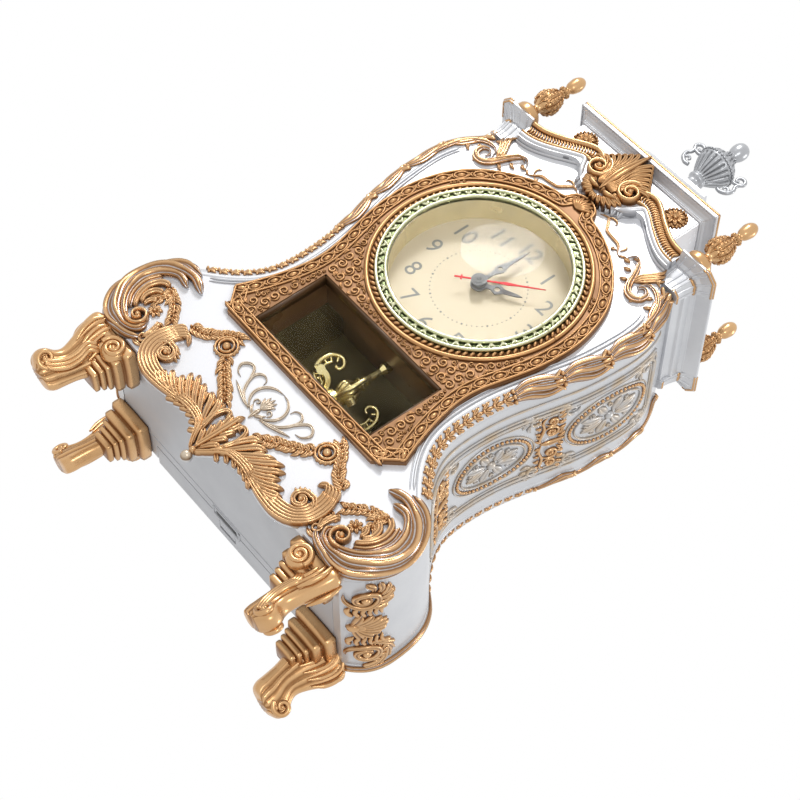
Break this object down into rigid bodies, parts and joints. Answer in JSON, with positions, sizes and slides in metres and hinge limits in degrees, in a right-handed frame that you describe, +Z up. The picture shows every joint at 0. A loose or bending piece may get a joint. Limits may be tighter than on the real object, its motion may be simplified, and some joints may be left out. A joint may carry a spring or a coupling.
{
  "type": "mantel clock with revolving ornament",
  "caption": "Rococo mantel clock on scroll feet: waisted case with gilt leaf ornament, round dial, and a window onto a revolving scroll ornament, under an urn-topped crest.",
  "frame": {"origin": "on the floor under the middle of the bounding box", "axes": "+Z up, the dial faces -Y, +X to the right of someone facing the dial"},
  "size_m": [0.2066, 0.0992, 0.3771],
  "materials": {
    "white": "pearl white gloss",
    "silver": "silver lacquer",
    "gold": "antique gilt with dark wash",
    "plate": "bronze gilt, embossed",
    "bezel": "pale gilt, pierced",
    "reflector": "pale gilt",
    "glass": "clear",
    "dial": "cream",
    "brown": "dark brown",
    "mirror": "mirror",
    "black": "black",
    "cell": "plain sleeve",
    "grey": "pale grey",
    "steel": "plain",
    "hand": "bright",
    "red": "red",
    "knob": "ivory",
    "gear": "natural",
    "rotor": "gilt plating"
  },
  "bodies": {
    "case": {"front_panel": "white", "cornice_block": "white", "side_wall_left": "silver", "side_wall_right": "silver", "top_deck": "silver", "entablature_left": "silver", "entablature_right": "silver", "capital_front_left": "silver", "capital_front_right": "silver", "capital_rear_left": "silver", "capital_rear_right": "silver", "cornice_moulding": "silver", "bell_top": "silver", "urn_body": "silver", "urn_handles": "silver", "urn_knob": "silver", "pediment_backing": "silver", "side_relief_left": "silver", "side_relief_right": "silver", "foot_front_left": "gold", "foot_front_right": "gold", "foot_rear_left": "gold", "foot_rear_right": "gold", "finial_front_left": "gold", "finial_front_right": "gold", "finial_rear_left": "gold", "finial_rear_right": "gold", "pediment_scrolls": "gold", "shell_cartouche": "gold", "rosettes": "gold", "corner_acanthus_left": "gold", "corner_acanthus_right": "gold", "apron_acanthus": "gold", "front_border_left": "gold", "front_border_right": "gold", "rear_border_left": "gold", "rear_border_right": "gold", "inset_plate": "plate", "bezel_ring": "bezel", "reflector_ring": "reflector", "lens": "glass", "window_pane": "glass", "dial": "dial", "window_box": "brown", "mirrors": "mirror", "movement_case": "black", "battery_cell": "cell", "base_panel": "grey", "rotor_motor": "grey", "case_screws": "steel"},
    "hour_hand": {"hour_hand": "hand"},
    "minute_hand": {"minute_hand": "hand"},
    "second_hand": {"second_hand": "red"},
    "set_knob": {"set_knob": "knob"},
    "rear_cover": {"rear_cover": "grey"},
    "latch_tab": {"latch_tab": "grey"},
    "motor_pinion": {"motor_pinion": "gear"},
    "rotor": {"rotor_stand": "rotor", "rotor_scrolls": "rotor", "drive_gear": "gear"}
  },
  "joints": [
    {"name": "minute_turn", "type": "hinge", "parent": "case", "child": "minute_hand", "pos_m": [0, -0.03, 0.1945], "axis": [0, 1, 0], "continuous": true},
    {"name": "hour_turn", "type": "hinge", "parent": "case", "child": "hour_hand", "pos_m": [0, -0.03, 0.1945], "axis": [0, 1, 0], "continuous": true},
    {"name": "second_turn", "type": "hinge", "parent": "case", "child": "second_hand", "pos_m": [0, -0.03, 0.1945], "axis": [0, 1, 0], "continuous": true},
    {"name": "set_knob_turn", "type": "hinge", "parent": "case", "child": "set_knob", "pos_m": [0, -0.008, 0.2085], "axis": [0, 1, 0], "continuous": true},
    {"name": "rotor_turn", "type": "hinge", "parent": "case", "child": "rotor", "pos_m": [0, -0.01135, 0.09], "axis": [0, 0, 1], "continuous": true},
    {"name": "pinion_turn", "type": "hinge", "parent": "case", "child": "motor_pinion", "pos_m": [0.024, -0.01135, 0.085], "axis": [0, 0, 1], "continuous": true},
    {"name": "rear_cover_swing", "type": "hinge", "parent": "case", "child": "rear_cover", "pos_m": [0, 0.04515, 0.255], "axis": [1, 0, 0], "range_deg": [0, 75]},
    {"name": "latch_press", "type": "slide", "parent": "rear_cover", "child": "latch_tab", "axis": [0, 1, 0], "range_m": [0, 0.0015], "stiffness_N_per_m": 400}
  ],
  "couplings": [
    {"joint": "minute_turn", "follows": "second_turn", "ratio": 0.016667},
    {"joint": "hour_turn", "follows": "second_turn", "ratio": 0.0013889},
    {"joint": "set_knob_turn", "follows": "second_turn", "ratio": -0.016667},
    {"joint": "pinion_turn", "follows": "rotor_turn", "ratio": -3}
  ]
}
